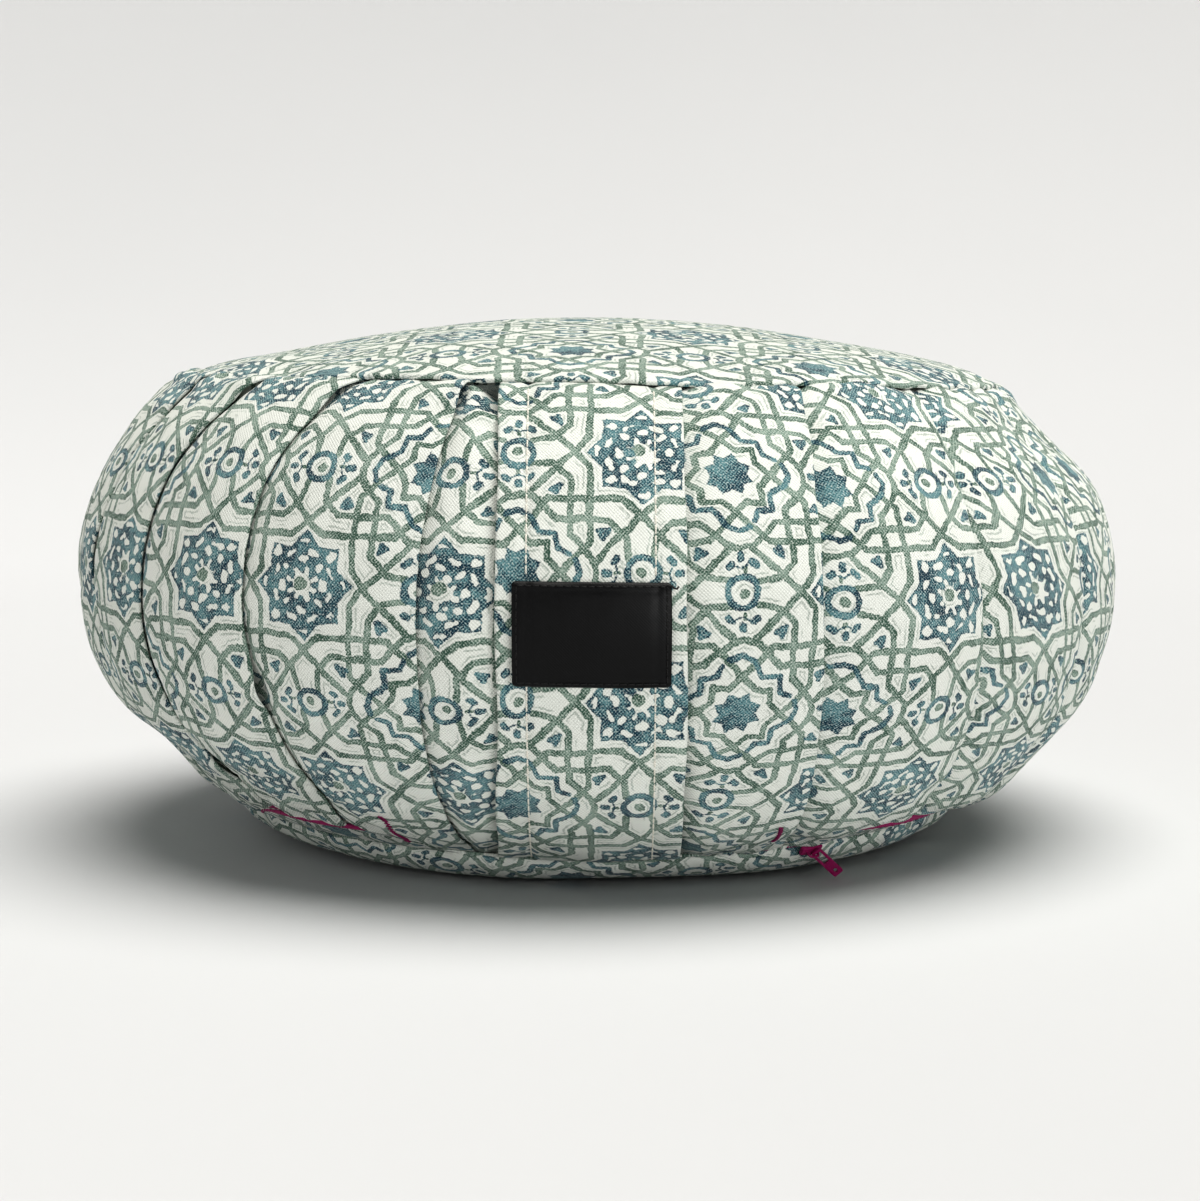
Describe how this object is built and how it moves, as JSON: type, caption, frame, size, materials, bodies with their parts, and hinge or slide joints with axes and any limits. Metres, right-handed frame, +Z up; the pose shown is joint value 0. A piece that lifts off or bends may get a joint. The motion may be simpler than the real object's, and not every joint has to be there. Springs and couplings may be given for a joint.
{
  "type": "meditation cushion",
  "caption": "Round zafu meditation cushion with pleated side, flat top and base, stitched front panel with a woven label, and a zip in the lower seam.",
  "frame": {"origin": "on the floor under the middle of the cushion's bounding box", "axes": "+Z up out of the round top; the front panel with its label faces -Y; +X to the right as seen from the front"},
  "size_m": [0.361, 0.3613, 0.18],
  "materials": {
    "printed_cotton": "plain-weave cotton, block-printed in blue and sage green on white",
    "label_satin": "woven satin, soft sheen",
    "zip_cloth": "woven zip tape",
    "zip_enamel": "baked enamel, satin"
  },
  "bodies": {
    "root": {"side_band": "printed_cotton", "top_panel": "printed_cotton", "bottom_panel": "printed_cotton", "front_panel": "printed_cotton", "label": "label_satin", "zip_tape": "zip_cloth", "zip_slider": "zip_enamel", "zip_pull": "zip_enamel"}
  },
  "joints": []
}
